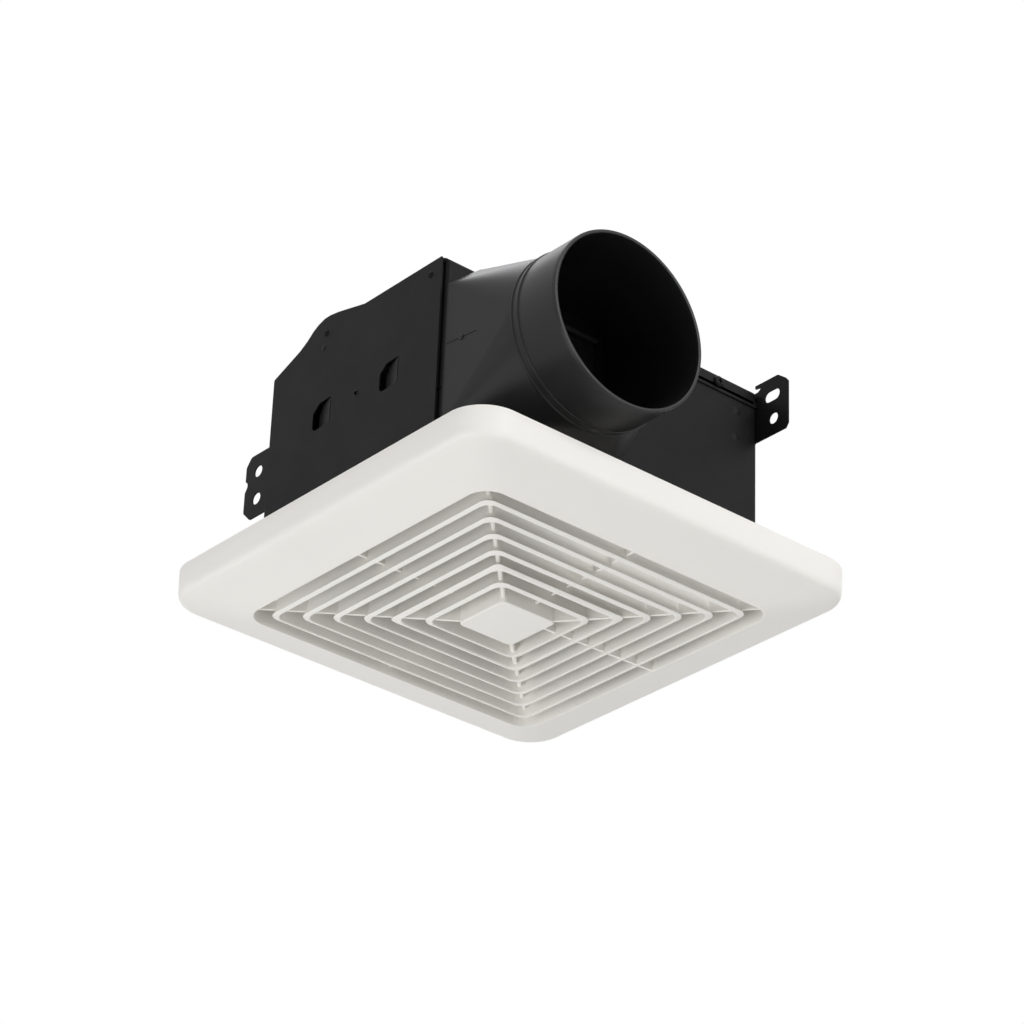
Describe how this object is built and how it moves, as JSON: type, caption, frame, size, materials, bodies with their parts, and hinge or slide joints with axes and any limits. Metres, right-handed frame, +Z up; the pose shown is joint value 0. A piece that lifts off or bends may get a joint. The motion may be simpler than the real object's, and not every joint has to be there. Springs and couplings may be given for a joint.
{
  "type": "ceiling exhaust fan",
  "caption": "Recessed ceiling exhaust fan with a square ringed louver grille, a sheet steel housing, a centrifugal blower inside and a round side duct collar with a hinged backdraft flap.",
  "frame": {"origin": "centre of the grille, in the ceiling plane that the grille's rim rests against", "axes": "+Z up into the ceiling, +X out of the duct collar, +Y along the housing away from the duct"},
  "size_m": [0.2833, 0.261, 0.1599],
  "materials": {
    "black_paint": "fine satin powder coat on sheet steel",
    "black_plastic": "moulded, soft sheen",
    "flap_plastic": "moulded, matte",
    "wheel_plastic": "moulded, matte",
    "white_plastic": "moulded, fine matte grain",
    "steel": "zinc plated",
    "zinc_sheet": "galvanised sheet",
    "lamination_steel": "stacked laminations, oiled",
    "copper": "varnished copper wire",
    "bronze": "sintered bronze",
    "rubber": "matte",
    "capacitor_case": "potted box, soft gloss",
    "ivory_plastic": "moulded, soft gloss",
    "plug_plastic": "moulded, matte",
    "lead_jacket": "soft jacket",
    "green_screw": "green plated screw",
    "spring_steel": "drawn wire"
  },
  "bodies": {
    "housing": {"housing_wrapper": "black_paint", "end_plate_left": "black_paint", "end_plate_right": "black_paint", "plate_rivets": "black_paint", "top_cover": "black_paint", "top_cover_screw": "black_paint", "duct_adapter": "black_plastic", "adapter_screws": "black_paint", "volute": "black_plastic", "inlet_plate": "black_paint", "inlet_plate_screws": "steel", "motor_plate": "zinc_sheet", "stator_core": "lamination_steel", "stator_winding": "copper", "motor_bell_upper": "zinc_sheet", "motor_bell_lower": "zinc_sheet", "bush_upper": "bronze", "bush_lower": "bronze", "motor_grommets": "rubber", "motor_screws": "steel", "capacitor": "capacitor_case", "capacitor_strap": "zinc_sheet", "junction_cover": "zinc_sheet", "receptacle": "ivory_plastic", "motor_plug": "plug_plastic", "motor_lead": "lead_jacket", "ground_screw": "green_screw", "spring_bracket_left": "zinc_sheet", "spring_bracket_right": "zinc_sheet"},
    "grille": {"grille": "white_plastic", "grille_spring_left": "spring_steel", "grille_spring_right": "spring_steel"},
    "impeller": {"blower_wheel": "wheel_plastic", "wheel_plate": "zinc_sheet", "wheel_hub": "steel", "wheel_nut": "steel", "motor_shaft": "steel", "rotor_core": "lamination_steel"},
    "damper": {"damper_flap": "flap_plastic", "damper_pin": "steel"}
  },
  "joints": [
    {"name": "grille_drop", "type": "slide", "parent": "housing", "child": "grille", "axis": [0, 0, -1], "range_m": [0, 0.025], "stiffness_N_per_m": 120, "springref_m": -0.05, "deforming": ["grille_spring_left", "grille_spring_right"]},
    {"name": "impeller_spin", "type": "hinge", "parent": "housing", "child": "impeller", "pos_m": [0, 0.02, 0.085], "axis": [0, 0, 1], "continuous": true},
    {"name": "damper_swing", "type": "hinge", "parent": "housing", "child": "damper", "pos_m": [0.0803, -0.0543, 0.1017], "axis": [0, -1, 0], "range_deg": [0, 65]}
  ]
}
